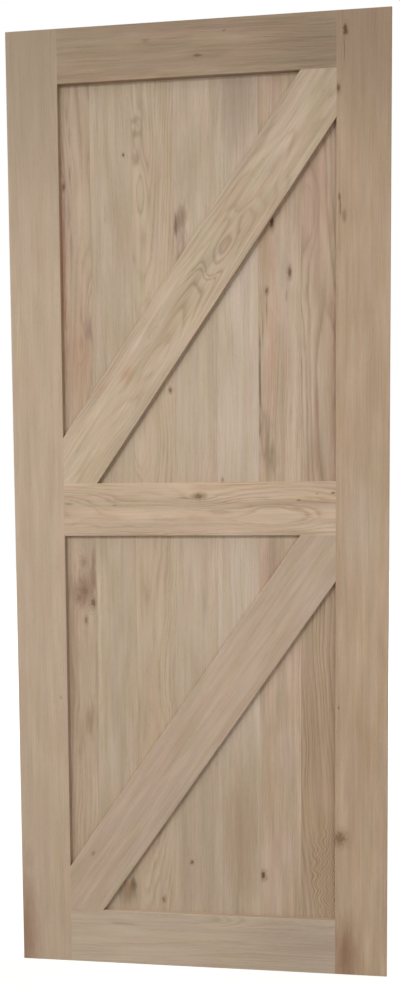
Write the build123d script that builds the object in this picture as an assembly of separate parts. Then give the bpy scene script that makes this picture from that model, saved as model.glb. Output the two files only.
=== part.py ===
from build123d import *
import math
import os

# A boarded oak door leaf. Upright boards, tongued and grooved into each other, make the whole
# field. Stiles, rails and diagonal braces are thinner planks planted on the front of it, all
# flush with each other, and screws put in from the back hold them there.
# X runs across the leaf, Z up, and the front faces -Y. The origin is the middle of the bottom.

# Leaf
leaf_width = 813.0
leaf_height = 2032.0
leaf_arris = 1.0

# Boards
board_width = 90.0
first_board_width = 88.0
board_thickness = 25.0
board_arris = 0.3
tongue_thickness = 8.0
tongue_length = 7.0
tongue_arris = 1.0
tongue_side_clearance = 0.2
tongue_end_clearance = 1.0

# Planks on the front
plank_thickness = 10.0
plank_arris = 0.8
stile_width = 112.0
top_rail_width = 114.0
mid_rail_width = 114.0
mid_rail_height = 1016.0
bottom_rail_width = 120.0
brace_width = 117.0
brace_corner_shift = 3.0

# Screws, whose round sections are drawn with a few sides to keep the facets few
screw_diameter = 4.0
screw_length = 30.0
screw_tip_length = 6.0
screw_tip_diameter = 1.0
screw_sides = 12
head_diameter = 8.0
head_angle = 90.0
head_sink = 0.4
screw_clearance = 0.15
screw_edge_margin = 12.0
stile_screw_count = 7
stile_screw_end_margin = 66.0
stile_screw_inset = 24.0
stile_screw_stagger = 38.0
rail_screw_offset = 26.0

# Places worked out from the sizes above
leaf_thickness = board_thickness + plank_thickness
left = -leaf_width / 2
right = leaf_width / 2
front = -leaf_thickness / 2
back = leaf_thickness / 2
board_front = front + plank_thickness
board_middle = (board_front + back) / 2
opening_left = left + stile_width
opening_right = right - stile_width
top_rail_low = leaf_height - top_rail_width
mid_rail_high = mid_rail_height + mid_rail_width / 2
mid_rail_low = mid_rail_height - mid_rail_width / 2
full_board_count = round((leaf_width - first_board_width) / board_width) - 1
board_count = full_board_count + 2
head_slope = math.tan(math.radians(head_angle / 2))
head_height = (head_diameter - screw_diameter) / 2 / head_slope


def board_joints():
    """X of both sides of every board. The last board takes what the others leave."""
    inner = [left + first_board_width + i * board_width for i in range(board_count - 1)]
    return [left] + inner + [right]


def groove_points(x):
    """A groove in a board's left edge, from the front to the back."""
    half = tongue_thickness / 2 + tongue_side_clearance
    end = x + tongue_length + tongue_end_clearance
    return [
        (x, board_middle - half),
        (end, board_middle - half),
        (end, board_middle + half),
        (x, board_middle + half),
    ]


def tongue_points(x):
    """A tongue with eased corners on a board's right edge, from the back to the front."""
    half = tongue_thickness / 2
    end = x + tongue_length
    return [
        (x, board_middle + half),
        (end - tongue_arris, board_middle + half),
        (end, board_middle + half - tongue_arris),
        (end, board_middle - half + tongue_arris),
        (end - tongue_arris, board_middle - half),
        (x, board_middle - half),
    ]


def left_side(x, joined):
    """The left side of a board's section. The leaf's own edge is plain."""
    if not joined:
        return [(x, board_front), (x, back)]
    front_corner = [(x + board_arris, board_front), (x, board_front + board_arris)]
    back_corner = [(x, back - board_arris), (x + board_arris, back)]
    return front_corner + groove_points(x) + back_corner


def right_side(x, joined):
    """The right side of a board's section. The leaf's own edge is plain."""
    if not joined:
        return [(x, back), (x, board_front)]
    back_corner = [(x - board_arris, back), (x, back - board_arris)]
    front_corner = [(x, board_front + board_arris), (x - board_arris, board_front)]
    return back_corner + tongue_points(x) + front_corner


def leaf_envelope():
    """The whole leaf as one block with its outer arrises eased, which trims every piece."""
    block = Pos(0, 0, leaf_height / 2) * Box(leaf_width, leaf_thickness, leaf_height)
    faces = block.faces().sort_by(Axis.Y)
    return chamfer(faces[0].edges() + faces[-1].edges(), leaf_arris)


def board(index, envelope, screws):
    """One full-height board, numbered from the left, drilled for the screws through it."""
    x_low, x_high = joints[index], joints[index + 1]
    outline = left_side(x_low, index > 0) + right_side(x_high, index < board_count - 1)
    section = make_face(Polyline(*outline, close=True))
    piece = extrude(section, amount=leaf_height, dir=(0, 0, 1)) & envelope
    places = [place for group in screws.values() for place in group]
    return drilled(piece, [(x, z) for x, z in places if x_low < x < x_high])


def rectangle(x_low, x_high, z_low, z_high):
    return [(x_low, z_low), (x_high, z_low), (x_high, z_high), (x_low, z_high)]


class Opening:
    """One opening of the frame with the brace that crosses it from lower left to upper right."""

    def __init__(self, z_low, z_high):
        self.z_low = z_low
        self.z_high = z_high
        run = opening_right - opening_left - 2 * brace_corner_shift
        self.angle = math.atan2(z_high - z_low, run)
        half = brace_width / 2
        self.rail_seat = brace_corner_shift + half / math.sin(self.angle)
        self.stile_seat = half / math.cos(self.angle) - brace_corner_shift * math.tan(self.angle)

    def brace_middle(self, x):
        """Z of the brace's middle line, which starts on the rail beside the corner."""
        return self.z_low + (x - opening_left - brace_corner_shift) * math.tan(self.angle)

    def brace_outline(self):
        """Each end sits on a rail and against a stile."""
        return [
            (opening_left, self.z_low),
            (opening_left + self.rail_seat, self.z_low),
            (opening_right, self.z_high - self.stile_seat),
            (opening_right, self.z_high),
            (opening_right - self.rail_seat, self.z_high),
            (opening_left, self.z_low + self.stile_seat),
        ]

    def fields(self):
        """The two triangles of boards that show, above the brace and below it."""
        above = [
            (opening_left, self.z_low + self.stile_seat),
            (opening_right - self.rail_seat, self.z_high),
            (opening_left, self.z_high),
        ]
        below = [
            (opening_left + self.rail_seat, self.z_low),
            (opening_right, self.z_low),
            (opening_right, self.z_high - self.stile_seat),
        ]
        return [above, below]


def upright_face(points, y):
    """A face in a plane of constant Y, from its outline in X and Z."""
    return make_face(Polyline(*[(x, y, z) for x, z in points], close=True))


def arris_cutter(triangle):
    """Eases every plank's front edge round one triangle of boards, mitred at its corners."""
    outline = upright_face(triangle, front + plank_arris)
    grown = offset(outline, amount=2 * plank_arris, kind=Kind.INTERSECTION)
    return loft([outline, Pos(0, -2 * plank_arris, 0) * grown])


def plank(outline, cutters, envelope, places):
    """A plank on the front of the boards, drilled for its own screws."""
    piece = extrude(upright_face(outline, front), amount=plank_thickness, dir=(0, 1, 0))
    return drilled((piece & envelope) - cutters, places)


def screw_section(radius, depth, x, z):
    """A screw's section at a depth below the back face."""
    plane = Plane(origin=(x, back - depth, z), x_dir=(1, 0, 0), z_dir=(0, -1, 0))
    return plane * RegularPolygon(radius, screw_sides)


def screw(x, z):
    """A countersunk screw with its head just below the back face."""
    neck = head_sink + head_height
    tip = head_sink + screw_length
    sections = [
        (head_diameter / 2, head_sink),
        (screw_diameter / 2, neck),
        (screw_diameter / 2, tip - screw_tip_length),
        (screw_tip_diameter / 2, tip),
    ]
    return loft([screw_section(r, depth, x, z) for r, depth in sections], ruled=True)


def screw_hole(x, z):
    """The hole for a screw, with a clearance all round it and its mouth past the back face."""
    head_room = screw_clearance / math.cos(math.radians(head_angle / 2))
    neck = head_sink + head_height + (head_room - screw_clearance) / head_slope
    tip = head_sink + screw_length
    sections = [
        (head_diameter / 2 + head_room + 2 * head_sink * head_slope, -head_sink),
        (screw_diameter / 2 + screw_clearance, neck),
        (screw_diameter / 2 + screw_clearance, tip - screw_tip_length),
        (screw_tip_diameter / 2 + screw_clearance, tip + screw_clearance),
    ]
    return loft([screw_section(r, depth, x, z) for r, depth in sections], ruled=True)


def drilled(piece, places):
    return piece - [screw_hole(x, z) for x, z in places]


def stile_screws(outer_x, inwards):
    """A zigzag up a stile, all in the outer board."""
    rise = (leaf_height - 2 * stile_screw_end_margin) / (stile_screw_count - 1)
    insets = [stile_screw_inset, stile_screw_inset + stile_screw_stagger]
    heights = [stile_screw_end_margin + i * rise for i in range(stile_screw_count)]
    return [(outer_x + inwards * insets[i % 2], z) for i, z in enumerate(heights)]


def rail_screws(middle_z):
    """One screw through each board behind a rail, above and below the rail's middle in turn."""
    offsets = [rail_screw_offset, -rail_screw_offset]
    return [(x, middle_z + offsets[i % 2]) for i, x in enumerate(crossing)]


def brace_screws(opening):
    """One screw through each board behind a brace, along the brace's middle."""
    return [(x, opening.brace_middle(x)) for x in crossing]


def write(name, solids):
    shape = solids[0] if len(solids) == 1 else Compound(solids)
    shape.label = name
    export_step(shape, os.path.join("parts", name + ".step"))


os.makedirs("parts", exist_ok=True)
joints = board_joints()
upper = Opening(mid_rail_high, top_rail_low)
lower = Opening(bottom_rail_width, mid_rail_low)
envelope = leaf_envelope()

# The boards behind the rails and braces, by the X of their middles
centres = [(joints[i] + joints[i + 1]) / 2 for i in range(board_count)]
screw_low = opening_left + screw_edge_margin
screw_high = opening_right - screw_edge_margin
crossing = [x for x in centres if screw_low < x < screw_high]

outlines = {
    "stile_left": rectangle(left, opening_left, 0, leaf_height),
    "stile_right": rectangle(opening_right, right, 0, leaf_height),
    "rail_top": rectangle(opening_left, opening_right, top_rail_low, leaf_height),
    "rail_mid": rectangle(opening_left, opening_right, mid_rail_low, mid_rail_high),
    "rail_bottom": rectangle(opening_left, opening_right, 0, bottom_rail_width),
    "brace_upper": upper.brace_outline(),
    "brace_lower": lower.brace_outline(),
}
screws = {
    "stile_left": stile_screws(left, 1),
    "stile_right": stile_screws(right, -1),
    "rail_top": rail_screws(leaf_height - top_rail_width / 2),
    "rail_mid": rail_screws(mid_rail_height),
    "rail_bottom": rail_screws(bottom_rail_width / 2),
    "brace_upper": brace_screws(upper),
    "brace_lower": brace_screws(lower),
}
cutters = [arris_cutter(field) for opening in (upper, lower) for field in opening.fields()]

for i in range(board_count):
    write(f"board_{i + 1}", board(i, envelope, screws).solids())

for name, outline in outlines.items():
    write(name, plank(outline, cutters, envelope, screws[name]).solids())
    write(f"screws_{name}", [screw(x, z).solid() for x, z in screws[name]])
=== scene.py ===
# %% [markdown]
# # A boarded oak barn door leaf
#
# The leaf is a field of upright tongued and grooved oak boards, with stiles, rails and diagonal
# braces planted on the front. The shapes come from the fixed frame, which is at real size. What is
# left for Blender is the finish: sawn and sanded oak, whose figure is different on every plank.
# Everything is in metres, X runs across the leaf, Z up, and the braced front faces -Y.

# %% Load the fixed frame
import math
import bpy
import bmesh
from mathutils import Matrix, Vector


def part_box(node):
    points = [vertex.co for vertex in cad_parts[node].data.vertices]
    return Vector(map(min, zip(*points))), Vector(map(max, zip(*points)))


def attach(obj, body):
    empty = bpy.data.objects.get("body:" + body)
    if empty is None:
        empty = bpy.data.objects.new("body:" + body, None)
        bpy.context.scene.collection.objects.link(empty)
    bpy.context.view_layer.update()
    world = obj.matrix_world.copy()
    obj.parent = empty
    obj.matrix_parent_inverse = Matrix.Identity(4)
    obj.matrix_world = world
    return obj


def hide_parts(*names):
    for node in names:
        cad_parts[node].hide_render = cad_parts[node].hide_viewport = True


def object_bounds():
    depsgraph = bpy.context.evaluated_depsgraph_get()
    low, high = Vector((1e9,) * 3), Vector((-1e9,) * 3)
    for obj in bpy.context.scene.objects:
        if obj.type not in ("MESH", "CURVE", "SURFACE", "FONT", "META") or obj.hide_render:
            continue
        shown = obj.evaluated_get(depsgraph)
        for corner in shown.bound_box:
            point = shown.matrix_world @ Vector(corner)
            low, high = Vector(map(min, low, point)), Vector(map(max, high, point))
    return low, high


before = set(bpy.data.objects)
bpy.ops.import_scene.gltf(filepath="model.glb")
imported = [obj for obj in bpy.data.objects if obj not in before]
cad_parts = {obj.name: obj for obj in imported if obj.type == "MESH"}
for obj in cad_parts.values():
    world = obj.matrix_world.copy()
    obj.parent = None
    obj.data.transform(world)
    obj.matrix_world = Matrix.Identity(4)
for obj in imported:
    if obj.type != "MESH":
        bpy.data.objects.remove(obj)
cad_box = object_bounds()
MM = 0.001
leaf_low, leaf_high = cad_box
print("pieces in the frame:", len(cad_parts))
print("leaf size in mm:", [round(side / MM) for side in leaf_high - leaf_low])

# %% [markdown]
# ## Camera
#
# A leaf in a catalogue is photographed almost square on, with the camera level at about half its
# height. Here it stands to the right of the middle and turns a little to the left, so the left
# edge looks shorter. A tall picture that keeps both ends in view is framed by shifting the lens,
# as a technical camera does, which keeps the uprights upright. The lens shift is a share of the
# picture's long side.

# %% Make the camera
camera_place = Vector((263.8, -1830.4, 1015.9)) * MM
camera_turn = [math.radians(angle) for angle in (86.55, 0.32, 6.04)]

camera_data = bpy.data.cameras.new("camera")
camera_data.sensor_width = 36
camera_data.lens = 31.13
camera_data.shift_x = -0.0316
camera_data.shift_y = 0.0699
camera_data.clip_end = 50
camera = bpy.data.objects.new("camera", camera_data)
camera.location = camera_place
camera.rotation_euler = camera_turn
bpy.context.scene.collection.objects.link(camera)
bpy.context.scene.camera = camera
bpy.context.scene.view_settings.view_transform = "Standard"
print("camera", round(-camera_place.y, 2), "m in front of the leaf")

# %% [markdown]
# ## One helper for nodes and one for colours
#
# Every finish below is a tree of nodes. One small function adds a node, sets its properties,
# fills its sockets with numbers or with other nodes' results, and returns a result to use next.
# Colours are written as a painter would pick them on a screen, in sRGB, and the shader works in
# linear light, so one function turns the first into the second.

# %% Helpers
def linear(hex_colour):
    """An sRGB hex colour as linear red, green, blue and alpha."""
    parts = [int(hex_colour[i:i + 2], 16) / 255 for i in (1, 3, 5)]
    return [c / 12.92 if c < 0.04045 else ((c + 0.055) / 1.055) ** 2.4 for c in parts] + [1.0]


def add(tree, kind, *values, named=None, out=None, stops=None, **settings):
    """Adds a node. Values fill its sockets in order, or by name. Returns one of its results."""
    made = tree.nodes.new("ShaderNode" + kind)
    for key, value in settings.items():
        setattr(made, key, value)
    if stops:
        elements = made.color_ramp.elements
        while len(elements) < len(stops):
            elements.new(0.5)
        for element, (place, colour) in zip(elements, stops):
            element.position = place
            element.color = colour
    sockets = [s for s in made.inputs if s.enabled]
    pairs = list(zip(sockets, values))
    pairs += [(made.inputs[key], value) for key, value in (named or {}).items()]
    for socket, value in pairs:
        if isinstance(value, bpy.types.NodeSocket):
            tree.links.new(value, socket)
        else:
            socket.default_value = value
    return made.outputs[out] if out else next((s for s in made.outputs if s.enabled), None)


def new_material(name):
    """An empty material and its node tree."""
    material = bpy.data.materials.new(name)
    material.use_nodes = True
    material.node_tree.nodes.clear()
    return material, material.node_tree


print("white is", linear("#FFFFFF")[:3])

# %% [markdown]
# ## Floor, background and light
#
# The floor and the background are a plain white, as in a catalogue. White that comes from more
# light would bleach the oak, so the floor and the world only look white to the camera, and to
# gloss, and light the leaf at a plain level. Near the leaf the floor glows less, which keeps the
# leaf's soft shadow, and further out it melts into the background.

# %% What is seen directly
def seen_directly(tree):
    """1 for what the camera, gloss or glass sees, 0 for what lights the object."""
    rays = tree.nodes.new("ShaderNodeLightPath")
    kinds = [rays.outputs[f"Is {kind} Ray"] for kind in ("Camera", "Glossy", "Transmission")]
    two = add(tree, "Math", kinds[0], kinds[1], operation="MAXIMUM")
    return add(tree, "Math", two, kinds[2], operation="MAXIMUM")


camera_white = 1.0
print("floor and world show the camera a strength of", camera_white)

# %% Floor
near_glow = 0.62
near_radius = 0.8
far_radius = 3.0
floor_half = 12.0
floor_grey = "#BDBDBB"
floor_roughness = 0.9


def make_floor():
    """A matt floor that glows to the camera, less so near the leaf."""
    shape = bmesh.new()
    bmesh.ops.create_grid(shape, x_segments=1, y_segments=1, size=floor_half)
    mesh = bpy.data.meshes.new("floor")
    shape.to_mesh(mesh)
    shape.free()
    floor = bpy.data.objects.new("floor", mesh)
    bpy.context.scene.collection.objects.link(floor)
    material, tree = new_material("white_studio_floor")
    place = tree.nodes.new("ShaderNodeTexCoord").outputs["Object"]
    distance = add(tree, "VectorMath", place, operation="LENGTH")
    glow = add(tree, "MapRange", distance, near_radius, far_radius, near_glow, camera_white,
               interpolation_type="SMOOTHSTEP")
    seen = add(tree, "Math", seen_directly(tree), glow, operation="MULTIPLY")
    skin = add(tree, "BsdfPrincipled", named={
        "Base Color": linear(floor_grey), "Roughness": floor_roughness,
        "Emission Color": linear("#FFFFFF"), "Emission Strength": seen})
    add(tree, "OutputMaterial", skin)
    mesh.materials.append(material)
    return floor


make_floor()
print("floor half width", floor_half, "m")

# %% World
fill_light = 0.24
warm_fill = "#FFF3E6"


def light_world():
    """A weak warm light from all round, which the camera sees as white."""
    world = bpy.data.worlds.new("studio")
    bpy.context.scene.world = world
    world.use_nodes = True
    tree = world.node_tree
    tree.nodes.clear()
    seen = seen_directly(tree)
    strength = add(tree, "MapRange", seen, 0.0, 1.0, fill_light, camera_white)
    tint = add(tree, "Mix", seen, linear(warm_fill), linear("#FFFFFF"), data_type="RGBA")
    add(tree, "OutputWorld", add(tree, "Background", tint, strength))


light_world()
print("the world lights the leaf at a strength of", fill_light)

# %% [markdown]
# ## Lamps
#
# The planks stand only 10 mm off the boards, so their thin shadow is what shows that they are
# planted on. The main lamp is a large spot, high on the left in front, which lays that shadow
# below the rails and to the right of the left stile. Its soft edge leaves the ends of the leaf a
# little darker than the middle. A soft box further round to the left gives the shadow its soft
# tail, a small one at the right keeps the faces that look that way from going black, and one
# above the leaf lights the upward edges of the rails and braces. A box behind shows the back.
# Area lamps alone would do for the colours, but their shadows would be too soft to see.

# %% Lamps
daylight = (0.975, 0.99, 1.0)


def lamp(kind, name, place, aim, watts, **settings):
    """A lamp at a place, turned to a point, which the camera doesn't see."""
    light = bpy.data.lights.new(name, kind)
    light.energy = watts
    light.color = daylight
    for key, value in settings.items():
        setattr(light, key, value)
    made = bpy.data.objects.new(name, light)
    made.location = place
    made.rotation_euler = (Vector(aim) - Vector(place)).to_track_quat("-Z", "Y").to_euler()
    made.visible_camera = False
    bpy.context.scene.collection.objects.link(made)
    return made


leaf_middle = (leaf_low + leaf_high) / 2
key_lamp = lamp("SPOT", "key_spot", (-1.8, -4.4, 3.9), aim=(0, 0, 0.62), watts=545,
                spot_size=math.radians(40), spot_blend=1.0, shadow_soft_size=0.8)
print("key lamp", round((key_lamp.location - leaf_middle).length, 2), "m from the leaf")

# Place in metres, watts and side in metres of every soft box
soft_boxes = {"side_box": ((-4.4, -3.4, 2.4), 95, 2.2),
              "front_box": ((1.5, -2.0, 1.1), 10, 1.0),
              "top_box": ((0, -0.9, 4.6), 34, 1.6),
              "back_box": ((2.0, 4.0, 2.6), 185, 2.5)}
for name, (place, watts, side) in soft_boxes.items():
    lamp("AREA", name, place, aim=leaf_middle, watts=watts, shape="SQUARE", size=side)
    print(name, "gives", watts, "W")

# %% [markdown]
# ## Oak, from the tree outwards
#
# Oak is the leaf's only wood, sanded and left bare. What the eye reads as oak is its figure: the
# growth rings are nearly upright cylinders round the tree's pith, and a plank is a flat cut
# through them. Near the pith's line the cut runs along the rings and shows arches, and away from
# it the rings become straight lines. So the finish is solid: one formula for the rings in the
# whole space, read wherever the plank's faces lie. Edges and ends then match the faces by
# themselves, which a picture wrapped round the plank could never do.
#
# Each plank gets its own pith, lean, ring width and colour, as if it came from its own tree.

# %% Space for one plank
seed_shift = (1.7, 0.9, 2.3)


def plank_space(tree, piece, turn):
    """Millimetres from a plank's middle: X across it, Y through it, Z along it."""
    low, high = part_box(piece)
    place = tree.nodes.new("ShaderNodeTexCoord").outputs["Object"]
    return add(tree, "Mapping", place, (low + high) / 2, (0, turn, 0), (MM, MM, MM),
               vector_type="TEXTURE")


def leaf_space(tree):
    """Millimetres from the leaf's lower left front corner, for what has its place on the leaf."""
    place = tree.nodes.new("ShaderNodeTexCoord").outputs["Object"]
    return add(tree, "Mapping", place, leaf_low, (0, 0, 0), (MM, MM, MM), vector_type="TEXTURE")


def cloud(tree, space, size, seed, detail=2.0, out=None):
    """Noise whose blotches are size millimetres across, through and along the grain.

    Each seed moves the noise, so that no two planks or layers share one pattern.
    """
    shift = [seed * step for step in seed_shift]
    place = add(tree, "Mapping", space, shift, (0, 0, 0), [1 / side for side in size])
    return add(tree, "TexNoise", place, 1.0, detail, 0.5, out=out)


print("one unit of plank space is", MM, "m, so every pattern below has a real size")

# %% [markdown]
# ## Knots push the rings aside
#
# A knot is the foot of a branch. The trunk's rings grow round it, so on the face they bend into
# a long eye. An oval is the tool for all of that: its distance runs from 0 in the middle to 1 at
# its edge, and a soft bump over a wide oval, added to the ring radius, bends the rings. The same
# bump without a knot is a swelling of the trunk, which shows as nested arches.

# %% Ovals
through = 1e5


def oval(tree, leaf, at, half, turn):
    """Distance from an oval's middle, 1 at its edge. Half is its half width across and along.

    The oval reaches right through the leaf.
    """
    place = add(tree, "Mapping", leaf, (at[0], 0, at[1]), (0, turn, 0),
                (half[0], through, half[1]), vector_type="TEXTURE")
    return add(tree, "VectorMath", place, operation="LENGTH")


def total(tree, values):
    """The sum of some values, or None if there are none."""
    result = None
    for value in values:
        result = value if result is None else add(tree, "Math", result, value, operation="ADD")
    return result


print("an oval reaches", through * MM, "m through the leaf, so it is the same at the back")

# %% Bent rings
knot_reach = (2.6, 5.0)
knot_push = 1.5
curl_core = 0.3
curl_wander = 0.7
curl_wander_size = (30, 30, 30)


def bent_rings(tree, leaf, plank, turn, knots, swells, curls):
    """How far knots, swellings and curly grain push the rings, in millimetres."""
    bumps = [(at, (half[0] * knot_reach[0], half[1] * knot_reach[1]), half[0] * knot_push)
             for at, half, *_ in knots]
    pushes = []
    for at, half, height in bumps + list(swells):
        pushes.append(add(tree, "MapRange", oval(tree, leaf, at, half, turn), 0.0, 1.0, height,
                          0.0, interpolation_type="SMOOTHSTEP"))
    for at, half, pitch, height in curls:
        inside = add(tree, "MapRange", oval(tree, leaf, at, half, turn), curl_core, 1.0, height,
                     0.0, interpolation_type="SMOOTHSTEP")
        along = add(tree, "SeparateXYZ", plank, out="Z")
        wander = cloud(tree, plank, curl_wander_size, pitch)
        late = add(tree, "Math", wander, curl_wander * pitch, along, operation="MULTIPLY_ADD")
        angle = add(tree, "Math", late, math.tau / pitch, operation="MULTIPLY")
        wave = add(tree, "Math", angle, operation="SINE")
        pushes.append(add(tree, "Math", inside, wave, operation="MULTIPLY"))
    return total(tree, pushes)


print("a knot bends the rings over", knot_reach[1], "times its own length")

# %% [markdown]
# ## Growth rings
#
# A year's ring in oak starts with a row of open pores, which look like a dark broken line, and
# ends in smooth late wood. The distance from the pith, divided by the width of a ring, counts
# the years, and its fraction says where in the year a point lies. A colour ramp turns that into
# a soft line. A wave texture could draw rings too, but not with a pith that leans, years of
# uneven width and knots that push them aside. Three noises keep the lines from looking ruled:
# a slow one bends the trunk, a middle one ripples it, and a fine one frays the lines.

# %% Growth rings
usual_ring = 3.4
bend_size = (90, 90, 330)
bend_detail = 1.5
ripple_size = (16, 16, 70)
fray_size = (1.8, 1.8, 26)
fray = 1.2
year_change = 0.31
year_spread = 3.5
ring_profile = [(0.0, 0.8), (0.1, 0.7), (0.26, 0.35), (0.5, 0.08), (0.72, 0.0), (0.9, 0.3),
                (1.0, 0.8)]


def growth_rings(tree, plank, pith, lean, ring, sway, waver, seed, push):
    """Near 0 in the smooth late wood and near 1 in the open pores that start each year."""
    slow = cloud(tree, plank, bend_size, seed, bend_detail, out="Color")
    centred = add(tree, "VectorMath", slow, (0.5, 0.5, 0.5), operation="SUBTRACT")
    swing = add(tree, "VectorMath", centred, (sway, sway, 0), operation="MULTIPLY")
    place = add(tree, "VectorMath", plank, swing, operation="ADD")
    height = add(tree, "SeparateXYZ", plank, out="Z")
    axis = add(tree, "CombineXYZ", *[
        add(tree, "Math", height, slope, start, operation="MULTIPLY_ADD")
        for slope, start in zip(lean, pith)])
    offset = add(tree, "VectorMath", place, axis, operation="SUBTRACT")
    flat = add(tree, "VectorMath", offset, (1, 1, 0), operation="MULTIPLY")
    radius = add(tree, "VectorMath", flat, operation="LENGTH")
    fibre = cloud(tree, plank, fray_size, seed + 3)
    ragged = add(tree, "Math", fibre, fray, operation="MULTIPLY")
    ripple = cloud(tree, plank, ripple_size, seed + 5)
    wavering = add(tree, "Math", ripple, waver, operation="MULTIPLY")
    radius = total(tree, [radius, ragged, wavering] + ([push] if push else []))
    year = add(tree, "Math", radius, 1 / ring, operation="MULTIPLY")
    years = add(tree, "TexNoise", year, year_change, 2.0, 0.5, noise_dimensions="1D")
    uneven = add(tree, "Math", years, year_spread, operation="MULTIPLY")
    count = add(tree, "Math", year, uneven, operation="ADD")
    part = add(tree, "Math", count, operation="FRACT")
    stops = [(place, [level] * 3 + [1.0]) for place, level in ring_profile]
    return add(tree, "ValToRGB", part, stops=stops)


print("a ring's profile has", len(ring_profile), "stops, and a ring is about", usual_ring, "mm")

# %% [markdown]
# ## Colour
#
# Bare oak is a warm grey brown. Slow clouds of an olive, a rosy and a paler tone drift along the
# grain. Stains lie on them, each an oval with a torn edge, and the grain is drawn over both, so
# that it shows through. The ring lines are only a shade darker than the wood between them, and
# they come and go along the plank. Streaks from a hair to a finger wide follow the fibres. Real
# fibres are far finer than a picture of the whole leaf can show, so the hair streaks are drawn
# 2 mm wide. Knots come last, because they are solid dark wood and hide what is under them.
# Mixing in this order costs more nodes than one ramp would, but each layer can be tuned alone.

# %% Clouds
cloud_size = (24, 24, 150)
cloud_detail = 1.6
cloud_limits = (0.42, 0.68)
cloud_tints = {"olive": (0.95, 0.96, 0.90), "rosy": (0.99, 0.95, 0.95), "pale": (1.07, 1.08, 1.10)}


def clouded(tree, plank, tone, lively, seed):
    """The base tone with slow clouds that tint it along the grain."""
    ground = linear(tone)[:3]
    for number, tint in enumerate(cloud_tints.values()):
        clouds = cloud(tree, plank, cloud_size, seed + 11 + 7 * number, cloud_detail)
        share = add(tree, "MapRange", clouds, *cloud_limits, 0.0, lively,
                    interpolation_type="SMOOTHSTEP")
        tinted = add(tree, "VectorMath", ground, tint, operation="MULTIPLY")
        ground = add(tree, "Mix", share, ground, tinted, data_type="VECTOR")
    return ground


print("cloud tints:", ", ".join(cloud_tints))

# %% Lines and streaks
line_tint = (0.5, 0.4, 0.3)
clear_size = (45, 45, 220)
clear_limits = (0.38, 0.62)
faint_share = 0.15
streak_sizes = {"hair": ((2.2, 2.2, 70), 0.05), "straw": ((6, 6, 230), 0.06),
                "finger": ((20, 20, 360), 0.08)}
streak_limits = (0.25, 0.75)
streak_detail = 3.0


def grained(tree, plank, colour, rings, contrast, vivid, lively, seed):
    """Draws the ring lines and the streaks over a colour.

    The lines come and go along the plank, and show best inside the vivid ovals.
    """
    clear = add(tree, "MapRange", cloud(tree, plank, clear_size, seed + 27), *clear_limits,
                faint_share * contrast, contrast)
    for inside in vivid:
        clear = add(tree, "Math", clear, inside, operation="MAXIMUM")
    lines = add(tree, "Math", rings, clear, operation="MULTIPLY")
    darker = add(tree, "VectorMath", colour, line_tint, operation="MULTIPLY")
    drawn = add(tree, "Mix", lines, colour, darker, data_type="VECTOR")
    parts = []
    for number, (size, strength) in enumerate(streak_sizes.values()):
        streak = cloud(tree, plank, size, seed + 33 + 5 * number, streak_detail)
        limit = strength * lively
        parts.append(add(tree, "MapRange", streak, *streak_limits, -limit, limit))
    factor = add(tree, "Math", total(tree, parts), 1.0, operation="ADD")
    return add(tree, "VectorMath", drawn, named={"Scale": factor}, operation="SCALE")


print("streaks:", ", ".join(streak_sizes))

# %% Stains
torn_size = (6, 6, 40)
torn_width = 30.0
torn_most = 2.2
torn_detail = 3.0
stain_fade = 1.4


def stained(tree, colour, leaf, plank, turn, stains, seed):
    """Mixes the stains over a colour, with torn edges that follow the grain.

    A narrow stain is torn more than a wide one, which would fall apart into specks.
    """
    if not stains:
        return colour
    ragged = cloud(tree, plank, torn_size, seed + 51, torn_detail)
    centred = add(tree, "Math", ragged, 0.5, operation="SUBTRACT")
    for at, half, tint, strength in stains:
        distance = oval(tree, leaf, at, half, turn)
        torn = min(torn_most, torn_width / half[0])
        edge = add(tree, "Math", centred, torn, distance, operation="MULTIPLY_ADD")
        share = add(tree, "MapRange", edge, 0.0, stain_fade, strength, 0.0,
                    interpolation_type="SMOOTHSTEP")
        colour = add(tree, "Mix", share, colour, linear(tint)[:3], data_type="VECTOR")
    return colour


print("torn less: stains with a half width over", round(torn_width / torn_most, 1), "mm")

# %% Knots
knot_shade = "#967B61"
knot_torn_size = (5, 5, 7)
knot_torn = 2.2
knot_core = 0.5
knot_rim = 1.3
knot_fade = 2.6


def knotted(tree, colour, leaf, turn, knots, seed):
    """Mixes the knots over a colour: a dark heart with a torn edge and a brown shade round it."""
    if not knots:
        return colour
    wobble = cloud(tree, leaf, knot_torn_size, seed + 57, torn_detail, out="Color")
    moved = add(tree, "VectorMath", wobble, (0.5, 0.5, 0.5), operation="SUBTRACT")
    for at, half, heart, strength in knots:
        swing = add(tree, "VectorMath", moved, named={"Scale": knot_torn * half[0]},
                    operation="SCALE")
        place = add(tree, "VectorMath", leaf, swing, operation="ADD")
        distance = oval(tree, place, at, half, turn)
        deep = add(tree, "MapRange", distance, knot_core, knot_rim, 0.0, 1.0,
                   interpolation_type="SMOOTHSTEP")
        tint = add(tree, "Mix", deep, linear(heart)[:3], linear(knot_shade)[:3],
                   data_type="VECTOR")
        share = add(tree, "MapRange", distance, knot_core, knot_fade, strength, 0.0,
                    interpolation_type="SMOOTHSTEP")
        colour = add(tree, "Mix", share, colour, tint, data_type="VECTOR")
    return colour


print("a knot's brown shade fades out at", knot_fade, "times its size")
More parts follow.
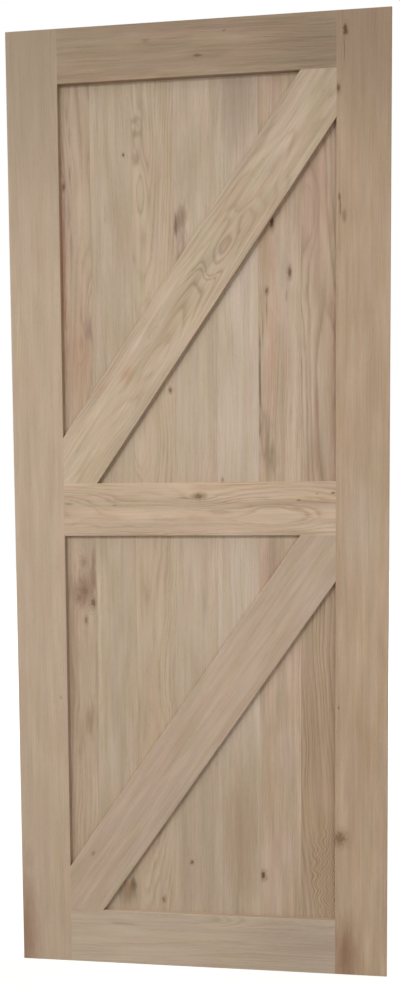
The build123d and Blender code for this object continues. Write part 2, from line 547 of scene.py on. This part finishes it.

# %% [markdown]
# ## The whole finish of a plank
#
# The material is European oak, sawn, planed and sanded, with no oil or varnish. That gives the
# eye a matt surface with almost no gloss: roughness about 0.7, a little more in the open pores
# than in the late wood, and a low specular level because dry fibres scatter the light. The pores
# are real holes 0.3 mm wide. They are drawn 0.9 mm wide and 12 mm long, which is the finest that
# still shows, and a bump of 0.15 mm sinks them. Sawn ends take up dirt and look darker. The long
# side faces are painted a little darker and warmer, as painted shade for the shade that falls on
# them. The direction that a face looks in tells the three apart.

# %% Pores
pore_size = (0.9, 0.9, 12)
pore_limits = (0.54, 0.64)
pores_in_late_wood = 0.25
pores_all_open = 0.6


def pore_holes(tree, plank, rings, seed):
    """1 in an open pore. Most lie in the dark part of a ring."""
    pores = cloud(tree, plank, pore_size, seed + 61)
    open_pores = add(tree, "MapRange", pores, *pore_limits, 0.0, 1.0)
    in_rings = add(tree, "MapRange", rings, 0.0, pores_all_open, pores_in_late_wood, 1.0)
    return add(tree, "Math", open_pores, in_rings, operation="MULTIPLY")


print("the smallest pattern is the pores,", pore_size[0], "by", pore_size[2], "mm")

# %% Dark ends, and painted shade on the side faces
end_shade = (0.55, 0.5, 0.45)
# Painted shade: the long side faces are darkened and warmed for the shade that falls on them
painted_side_shade = (0.97, 0.94, 0.90)
facing_limits = (0.8, 0.95)


def darken_ends_and_paint_side_shade(tree, colour, turn):
    """Darkens the faces that look along the grain, and paints a little shade on those that look
    across it.
    """
    facing = tree.nodes.new("ShaderNodeTexCoord").outputs["Normal"]
    faces = [((math.sin(turn), 0, math.cos(turn)), end_shade),
             ((math.cos(turn), 0, -math.sin(turn)), painted_side_shade)]
    for way, shade in faces:
        turned = add(tree, "VectorMath", facing, way, operation="DOT_PRODUCT")
        share = add(tree, "MapRange", add(tree, "Math", turned, operation="ABSOLUTE"),
                    *facing_limits, 0.0, 1.0)
        shaded = add(tree, "VectorMath", colour, shade, operation="MULTIPLY")
        colour = add(tree, "Mix", share, colour, shaded, data_type="VECTOR")
    return colour


print("sawn ends keep this share of red, green and blue:", end_shade)

# %% Put the finish together
figure_core = 0.5
pore_depth = 0.15
pore_shade = 0.9
shade_between_pores = 1.01
bump_strength = 0.5
late_wood_roughness = 0.66
pore_roughness = 0.78
dry_specular = 0.3


def oak(piece, tone, pith, lean=(0.0, 0.02), ring=usual_ring, sway=40.0, waver=4.0, contrast=0.25,
        lively=1.0, seed=1.0, turn=0.0, knots=(), stains=(), swells=(), curls=(), figures=()):
    """Gives one plank its own sanded bare oak.

    Pith is the tree's middle in plank space, lean its slopes, and ring the width of a year. Sway
    and waver are how far the rings bend and ripple, in millimetres. Contrast is how dark the
    lines are, lively how strong clouds and streaks are, and turn the plank's angle from upright.
    Swells bend the rings with no knot, curls wave them, and figures are where lines show best.
    """
    material, tree = new_material(f"sanded_bare_oak_{piece}")
    plank = plank_space(tree, piece, turn)
    leaf = leaf_space(tree)
    push = bent_rings(tree, leaf, plank, turn, knots, swells, curls)
    rings = growth_rings(tree, plank, pith, lean, ring, sway, waver, seed, push)
    vivid = [add(tree, "MapRange", oval(tree, leaf, at, half, turn), figure_core, 1.0,
                 strength, 0.0) for at, half, strength in figures]
    colour = clouded(tree, plank, tone, lively, seed)
    colour = stained(tree, colour, leaf, plank, turn, stains, seed)
    colour = grained(tree, plank, colour, rings, contrast, vivid, lively, seed)
    colour = knotted(tree, colour, leaf, turn, knots, seed)
    holes = pore_holes(tree, plank, rings, seed)
    shade = add(tree, "MapRange", holes, 0.0, 1.0, shade_between_pores, pore_shade)
    colour = add(tree, "VectorMath", colour, named={"Scale": shade}, operation="SCALE")
    colour = darken_ends_and_paint_side_shade(tree, colour, turn)
    roughness = add(tree, "MapRange", rings, 0.0, 1.0, late_wood_roughness, pore_roughness)
    height = add(tree, "Math", 1.0, holes, operation="SUBTRACT")
    bump = add(tree, "Bump", named={
        "Strength": bump_strength, "Distance": pore_depth * MM, "Height": height})
    skin = add(tree, "BsdfPrincipled", named={
        "Base Color": colour, "Roughness": roughness, "Specular IOR Level": dry_specular,
        "Normal": bump})
    add(tree, "OutputMaterial", skin)
    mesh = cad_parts[piece].data
    mesh.materials.clear()
    mesh.materials.append(material)
    print(piece, "has", len(tree.nodes), "nodes")


print("roughness from", late_wood_roughness, "in late wood to", pore_roughness, "in the pores")

# %% [markdown]
# ## Stiles
#
# The stiles are the two upright planks at the sides. They are cut far from the pith, so their
# rings are close and almost straight, and what the eye follows is their colour. The left one is
# even and brown at the foot. The right one is browner and has small knots near its inner edge.
# Both are darker at the top, which is painted shade for the top of the leaf, that the light
# leaves darker than its middle, and the right one has painted light in its middle.
#
# A mark on a plank is written as its middle, from the leaf's lower left corner, then its half
# width across and along the grain, both in millimetres, its colour and how strongly it covers.
# Marks could be painted by hand, but written down they stay sharp at any picture size, and each
# can be moved by changing one number.

# %% Stiles
oak("stile_left", "#B6A18B", pith=(-170, 60), ring=3.0, seed=2.0, contrast=0.2, lively=0.7,
    # Painted shade: the first stain darkens the top of the stile
    stains=[((56, 2040), (120, 430), "#A08D77", 0.9),
            ((97, 601), (3, 6), "#7D654C", 0.8),
            ((4, 60), (34, 190), "#8C6C52", 0.75)])
oak("stile_right", "#B09880", pith=(160, 40), ring=2.8, seed=4.0, contrast=0.22, lively=1.1,
    knots=[((719, 1992), (5, 11), "#54392B", 0.9),
           ((705, 1877), (3.5, 8), "#5E4434", 0.85),
           ((711, 303), (12, 13), "#735B44", 0.85)],
    # Painted shade: the first stain darkens the top of the stile
    stains=[((750, 1985), (90, 190), "#97806A", 0.85),
            ((717, 1962), (1.5, 30), "#7B5B45", 0.8),
            ((707, 1658), (3, 8), "#6B4F3C", 0.8),
            ((709, 1640), (2, 16), "#7D5E4A", 0.8),
            ((717, 1620), (5, 14), "#8A6A52", 0.7),
            ((708, 589), (2.5, 5), "#6F5440", 0.9),
            ((724, 40), (34, 90), "#86654A", 0.8),
            ((704, 900), (8, 900), "#A2876C", 0.3),
            # Painted light: this pale patch lightens the middle of the stile
            ((750, 990), (44, 120), "#B8A692", 0.65)])

# %% [markdown]
# ## Rails
#
# The rails lie between the stiles with their grain across the leaf, so their space is turned by
# a quarter turn before the rings are worked out. The top one is the dullest wood on the leaf,
# with soft short streaks, and its tone and its right end are darkened further as painted shade
# for the top of the leaf. The middle one is cut near the pith and shows clear wide lines,
# which sweep round a knot with a dark tail beside it. The bottom one is pale and calm.

# %% Rails
across = math.pi / 2
# The tone is the rail's own dull wood, darkened further as painted shade for the top of the leaf
oak("rail_top", "#9D8872", pith=(70, 60), seed=6.0, turn=across, contrast=0.3, lively=1.7,
    knots=[((413, 1959), (3, 10), "#66533F", 0.8)],
    stains=[((303, 1994), (5, 9), "#82694F", 0.6),
            ((655, 1964), (4, 46), "#8A6E5E", 0.6),
            ((469, 2006), (2.5, 4), "#745A46", 0.7),
            ((440, 1962), (10, 60), "#8F7A64", 0.5),
            ((330, 1975), (6, 90), "#96826C", 0.5),
            # Painted shade: this stain darkens the right end of the rail, at the top right of the
            # leaf
            ((650, 1975), (80, 120), "#8F7B67", 0.8)])
oak("rail_mid", "#BDA68F", pith=(10, 50), ring=5.0, seed=8.0, turn=across, contrast=0.55,
    waver=6.0, lively=1.4,
    knots=[((409, 1043), (5, 9), "#6B5543", 0.85)],
    swells=[((409, 1043), (34, 120), 12)],
    stains=[((380, 1040), (3, 22), "#87694E", 0.6),
            ((623, 1034), (2, 4), "#6E5740", 0.9),
            ((662, 1047), (2, 5), "#6E5740", 0.9),
            ((696, 1048), (3, 5), "#6E5740", 0.9),
            ((120, 1029), (3, 14), "#8A7055", 0.7),
            ((224, 1025), (2, 5), "#8A7055", 0.7),
            ((560, 1030), (9, 120), "#A58A6E", 0.4)])
oak("rail_bottom", "#B9A793", pith=(-70, 60), ring=3.8, seed=10.0, turn=across, lively=0.8,
    contrast=0.3,
    stains=[((230, 92), (4, 30), "#9C8871", 0.5),
            ((470, 60), (5, 60), "#A08C75", 0.45),
            ((640, 60), (90, 190), "#A99785", 0.85)])

# %% [markdown]
# ## Braces
#
# A brace's grain runs along its own length, from corner to corner, and not upright like the
# boards behind. That slope is what makes the eye read it as a plank of its own. Its angle comes
# from its box, less the small shift at each end where it sits on a rail beside the corner. The
# upper brace has wide arches, a small swirl and pale and olive bands. The lower one is even and
# slightly rosy. One texture for the whole leaf would be simpler, but the grain would run wrong.

# %% Braces
seat_shift = 3 * MM


def brace_turn(piece):
    """The angle from upright of a brace that crosses its opening from corner to corner."""
    low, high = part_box(piece)
    return math.atan2(high.x - low.x - 2 * seat_shift, high.z - low.z)


oak("brace_upper", "#B9A58E", pith=(8, 45), lean=(0.0, 0.04), ring=5.0, waver=3.0, sway=60.0,
    seed=12.0, turn=brace_turn("brace_upper"), contrast=0.34, lively=1.4,
    swells=[((460, 1556), (30, 110), 16),
            ((317, 1390), (15, 45), 9)],
    figures=[((440, 1520), (56, 190), 0.6)],
    stains=[((277, 1369), (8, 34), "#CBB8A7", 0.6),
            ((255, 1306), (16, 22), "#AE8B6C", 0.6),
            ((200, 1280), (10, 20), "#B5947C", 0.5),
            ((389, 1438), (18, 70), "#B7A582", 0.5),
            ((590, 1770), (10, 120), "#C7B6A3", 0.5),
            ((560, 1650), (8, 160), "#AC9780", 0.4)])
oak("brace_lower", "#B49F8B", pith=(110, 60), seed=14.0, turn=brace_turn("brace_lower"),
    contrast=0.14, lively=1.2,
    knots=[((165, 250), (2.5, 4), "#8A6A50", 0.7)],
    stains=[((395, 690), (10, 130), "#AB8975", 0.5),
            ((330, 520), (14, 160), "#B5A28C", 0.4)])

# %% [markdown]
# ## Boards, from the left
#
# The boards are the field behind the planks. Their joints are flush, so the eye tells one board
# from the next mostly by its colour and its marks. The first lies behind the left stile and
# shows only from the back. The second is the liveliest of the leaf: a red brown edge, and a
# group of knots under the middle rail. The third is plain, with a cream strip at its left edge.
# Marks go right through a board, as knots do, so the back shows them too, mirrored.

# %% Boards 1 to 3
oak("board_1", "#B09A84", pith=(0, 50), seed=21.0)
oak("board_2", "#B29D87", pith=(50, 40), lean=(0.0, 0.03), ring=5.0, seed=22.0, contrast=0.42,
    knots=[((120, 1709), (3, 7), "#6E5845", 0.85),
           ((150, 901), (6, 8), "#856D55", 0.6),
           ((138, 822), (5, 8), "#775E4E", 0.6),
           ((152, 838), (7, 11), "#775E4E", 0.55),
           ((171, 811), (6, 9), "#60483A", 0.8),
           ((154, 772), (3, 7), "#6E5846", 0.7)],
    swells=[((156, 1369), (18, 70), 10)],
    stains=[((116, 1560), (8, 290), "#A67B62", 0.8),
            ((125, 1780), (5, 46), "#C0A38E", 0.6),
            ((129, 1862), (3, 26), "#8F7B65", 0.6),
            ((134, 1810), (2.5, 30), "#8F7B65", 0.6),
            ((133, 1735), (2.5, 24), "#8A7561", 0.6),
            ((131, 1655), (3, 50), "#8A7561", 0.7),
            ((134, 1585), (3, 45), "#8D7763", 0.6),
            ((150, 1340), (44, 110), "#AC8A70", 0.7),
            ((171, 1405), (9, 26), "#8B7464", 0.7),
            ((148, 838), (30, 40), "#866B5B", 0.8),
            ((172, 870), (9, 50), "#8B715C", 0.7),
            # Painted shade: a darker band beside the left stile in the lower opening, for the tail
            # of its shadow
            ((125, 700), (14, 240), "#A38A6F", 0.5),
            ((160, 549), (15, 40), "#8F7559", 0.65),
            ((135, 520), (10, 60), "#9A8065", 0.5)])
oak("board_3", "#B3A08A", pith=(-100, 55), seed=23.0, contrast=0.2,
    knots=[((251, 1769), (2, 3), "#4E4034", 0.95)],
    stains=[((184, 745), (4.5, 200), "#CBB59A", 0.8),
            ((225, 1650), (16, 34), "#A4927C", 0.4),
            ((254, 178), (12, 16), "#5E4935", 0.8),
            ((242, 160), (24, 34), "#84694D", 0.7)])

# %% [markdown]
# ## Boards in the middle
#
# The fourth board is cut close to the pith near its top, so its rings close into narrow nested
# arches. Two swellings with no knot in them make those. The fifth has a dark smoky patch at its
# left side, half way up the upper opening. The sixth is the palest and is calm, with a slow
# swirl low down.

# %% Boards 4 to 6
oak("board_4", "#B8A48D", pith=(-28, 45), lean=(0.0, -0.03), ring=4.6, seed=24.0, contrast=0.42,
    swells=[((285, 1810), (16, 60), 9),
            ((288, 1700), (20, 120), 10)],
    knots=[((348, 1271), (3, 5), "#6E5543", 0.9),
           ((322, 146), (3, 5), "#7A5F4A", 0.85)],
    stains=[((276, 1838), (9, 8), "#937F69", 0.7),
            ((279, 1811), (9, 8), "#937F69", 0.7),
            ((277, 1760), (8, 12), "#937F69", 0.6),
            ((291, 1840), (3, 60), "#9D8A73", 0.6),
            ((300, 560), (26, 180), "#AD9274", 0.4)])
oak("board_5", "#B9A691", pith=(100, 55), seed=25.0, contrast=0.2,
    knots=[((386, 234), (3, 4), "#5E4839", 0.95)],
    stains=[((385, 1720), (26, 90), "#A4937C", 0.6),
            ((373, 1626), (14, 34), "#8A745E", 0.85),
            ((376, 1588), (16, 32), "#A1877A", 0.7),
            ((367, 1548), (12, 40), "#957C62", 0.7),
            ((362, 1612), (4, 26), "#5E4A3A", 0.75),
            ((405, 268), (20, 26), "#C2B1A0", 0.6),
            ((380, 200), (24, 90), "#A98A6E", 0.45),
            ((403, 330), (70, 420), "#AB9781", 0.7)])
oak("board_6", "#BEAC99", pith=(-80, 50), seed=26.0, contrast=0.22,
    swells=[((478, 430), (28, 120), 12)],
    stains=[((492, 300), (60, 260), "#A0886E", 0.8),
            ((495, 1880), (70, 110), "#A38F7B", 0.85),
            ((459, 1078), (3, 8), "#7A604C", 0.8)])

# %% [markdown]
# ## Boards, to the right
#
# The seventh board has four small knots, and a thin dark line that wanders from one of them to
# the joint and ends in a smoky patch. The eighth goes from rosy at the top to brown at the
# bottom, where its grain is curly: the lines wave sideways every 32 mm, which a sine
# along the grain draws inside an oval. The last lies behind the right stile.

# %% Boards 7 to 9
oak("board_7", "#B59F8A", pith=(80, 40), seed=27.0, contrast=0.3, lively=1.3,
    knots=[((567, 1617), (4, 12), "#4F3A2B", 0.95),
           ((604, 1512), (3.5, 10), "#5F4B3A", 0.9),
           ((556, 1475), (3, 6), "#6B5240", 0.85),
           ((545, 210), (5, 8), "#5A4733", 0.95)],
    stains=[((566, 1352), (11, 120), "#B88F79", 0.55),
            ((556, 1560), (16, 110), "#A5866E", 0.5),
            ((598, 1466), (2, 14), "#8A7662", 0.7),
            ((592, 1520), (12, 60), "#A99A8A", 0.5),
            ((612, 1250), (10, 330), "#C3B19C", 0.6),
            ((555, 1440), (1.8, 34), "#7D6450", 0.7),
            ((547, 1395), (1.8, 40), "#7D6450", 0.7),
            ((541, 1290), (2.5, 120), "#68503C", 0.85),
            ((552, 1180), (12, 50), "#8F7B66", 0.75),
            ((562, 1120), (16, 40), "#8C7661", 0.75),
            ((566, 900), (26, 60), "#9C7F6F", 0.6),
            ((560, 420), (18, 200), "#A88E74", 0.4)])
oak("board_8", "#B39D88", pith=(30, 26), lean=(-0.073, 0.02), ring=8.0, seed=28.0, contrast=0.65,
    lively=1.4, curls=[((690, 215), (50, 150), 32, 8.0)],
    swells=[((650, 1640), (30, 130), 14),
            ((716, 215), (64, 330), -22)],
    figures=[((686, 215), (56, 170), 0.9)],
    stains=[((660, 1660), (40, 120), "#A98774", 0.5),
            ((634, 1300), (6, 300), "#C3B19C", 0.5),
            ((695, 1250), (6, 260), "#9E7F67", 0.6),
            # Painted shade: a dark strip along the right stile's inner edge, for the shade in that
            # corner
            ((699, 1250), (3, 500), "#8F745B", 0.4),
            ((672, 420), (90, 420), "#9E8468", 0.7)])
oak("board_9", "#B09A84", pith=(0, 50), seed=29.0)

# %% [markdown]
# ## Screws
#
# Screws from the back hold the planks, so that none shows on the front. Each is a countersunk
# wood screw whose head lies just below the boards' face. Its cross recess is what tells a screw
# from a nail, so each screw is drawn again with one. The body is a profile spun round its axis.
# The recess starts as a grid of nine squares that loses its four corners. The cross that is left
# is pushed into the head and made smaller, and a bridge joins its rim to the head's. The thread
# is inside the wood, where nobody sees it, and is left out. A screw stops turning when it is
# tight, so no two crosses point the same way.

# %% Cross recess
recess_half = 2.1
recess_depth = 1.9
recess_taper = 0.45


def screw_recess(shape):
    """A cross in the plane of the head, pushed in towards -Y."""
    upright = Matrix.Rotation(math.pi / 2, 4, "X")
    bmesh.ops.create_grid(shape, x_segments=3, y_segments=3, size=recess_half, matrix=upright)
    middles = {face: face.calc_center_median() for face in shape.faces}
    corners = [face for face, middle in middles.items()
               if min(abs(middle.x), abs(middle.z)) > recess_half / 3]
    bmesh.ops.delete(shape, geom=corners, context="FACES")
    sunk = bmesh.ops.extrude_face_region(shape, geom=list(shape.faces))["geom"]
    floor = [part for part in sunk if isinstance(part, bmesh.types.BMVert)]
    bmesh.ops.scale(shape, verts=floor, vec=(recess_taper, 1, recess_taper))
    bmesh.ops.translate(shape, verts=floor, vec=(0, -recess_depth, 0))


print("the recess is", 2 * recess_half, "mm across and", recess_depth, "mm deep")

# %% Screw body
spin_steps = 24
merge_distance = 0.01
# Radius and depth of each corner in millimetres, from the head's rim to the tip
screw_profile = [(3.72, 0.0), (3.86, 0.08), (2.0, 2.0), (2.0, 24.0), (0.5, 30.0), (0.0, 30.0)]


def screw_body(shape):
    """The head, shank and tip, spun round the Y axis."""
    corners = [shape.verts.new((radius, -depth, 0)) for radius, depth in screw_profile]
    edges = [shape.edges.new(pair) for pair in zip(corners, corners[1:])]
    bmesh.ops.spin(shape, geom=corners + edges, cent=(0, 0, 0), axis=(0, 1, 0),
                   angle=math.tau, steps=spin_steps, use_merge=True)
    bmesh.ops.remove_doubles(shape, verts=shape.verts, dist=merge_distance)


print("a screw is", screw_profile[-1][1], "mm long")

# %% One screw
def one_screw():
    """A screw in metres, with the middle of its head at the origin."""
    shape = bmesh.new()
    screw_recess(shape)
    screw_body(shape)
    rims = [edge for edge in shape.edges if edge.is_boundary]
    bmesh.ops.bridge_loops(shape, edges=rims)
    bmesh.ops.recalc_face_normals(shape, faces=shape.faces)
    bmesh.ops.scale(shape, verts=shape.verts, vec=(MM, MM, MM))
    for face in shape.faces:
        face.smooth = True
    mesh = bpy.data.meshes.new("one_screw")
    shape.to_mesh(mesh)
    print("rims joined:", len(rims), "edges, still open:",
          sum(edge.is_boundary for edge in shape.edges), "volume in mm3:",
          round(shape.calc_volume(signed=True) / MM ** 3, 1))
    shape.free()
    return mesh


screw_mesh = one_screw()

# %% Screws of a plank
turn_step = 0.7
rim_depth = 0.1
screw_distance = 10
sharp_angle = 35


def head_middles(node):
    """The middle of every screw head of a node, from the corners of its heads."""
    top = max(corner.co.y for corner in node.data.vertices)
    rim = [corner.co for corner in node.data.vertices if top - corner.co.y < rim_depth * MM]
    middles = []
    for corner in rim:
        if all((corner - middle).length > screw_distance * MM for middle in middles):
            near = [other for other in rim if (other - corner).length < screw_distance * MM]
            middles.append(sum(near, Vector()) / len(near))
    return middles


def screw_set(name, node):
    """All the screws of one plank as one piece, in the place of the plain ones."""
    shape = bmesh.new()
    for number, middle in enumerate(head_middles(node)):
        before = len(shape.verts)
        shape.from_mesh(screw_mesh)
        shape.verts.ensure_lookup_table()
        added = shape.verts[before:]
        bmesh.ops.rotate(shape, verts=added, cent=(0, 0, 0),
                         matrix=Matrix.Rotation(number * turn_step, 3, "Y"))
        bmesh.ops.translate(shape, verts=added, vec=middle)
    mesh = bpy.data.meshes.new(name)
    shape.to_mesh(mesh)
    shape.free()
    mesh.set_sharp_from_angle(angle=math.radians(sharp_angle))
    made = bpy.data.objects.new(name, mesh)
    bpy.context.scene.collection.objects.link(made)
    return made


left_stile_screws = head_middles(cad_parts["screws_stile_left"])
print("screws in the left stile:", len(left_stile_screws))

# %% [markdown]
# ## Zinc
#
# The screws are steel, plated with zinc and passivated yellow, as wood screws mostly are. It
# looks like pale brass, but cloudy and a little matt, because the passivation is a thin film of
# uneven thickness. So two close tints are mixed by a noise of 3 mm, and the roughness moves
# between 0.34 and 0.5. A metal keeps the shader's own IOR, and its base colour tints what it
# reflects, which is why a metal's colour is chosen paler than it looks.

# %% Zinc
film_size = (3, 3, 3)
film_limits = (0.35, 0.65)
film_tints = ("#A8966B", "#BDB08C")
grit_size = (0.8, 0.8, 0.8)
grit_limits = (0.3, 0.7)
film_roughness = (0.34, 0.5)
film_seed = 71


def zinc_steel():
    """Zinc with a yellow passivation, which is cloudy and a little matt."""
    material, tree = new_material("yellow_passivated_zinc_on_steel")
    space = leaf_space(tree)
    share = add(tree, "MapRange", cloud(tree, space, film_size, film_seed), *film_limits, 0.0, 1.0)
    tints = [linear(tint) for tint in film_tints]
    colour = add(tree, "Mix", share, *tints, data_type="RGBA")
    grit = cloud(tree, space, grit_size, film_seed + 1)
    roughness = add(tree, "MapRange", grit, *grit_limits, *film_roughness)
    skin = add(tree, "BsdfPrincipled", named={
        "Base Color": colour, "Metallic": 1.0, "Roughness": roughness})
    add(tree, "OutputMaterial", skin)
    return material


zinc = zinc_steel()
screw_nodes = [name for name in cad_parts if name.startswith("screws_")]
for name in screw_nodes:
    made = screw_set(name.replace("screws_", "crossed_screws_"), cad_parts[name])
    made.data.materials.append(zinc)
    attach(made, "root")
    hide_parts(name)
    print(made.name, "has", len(made.data.polygons), "faces")
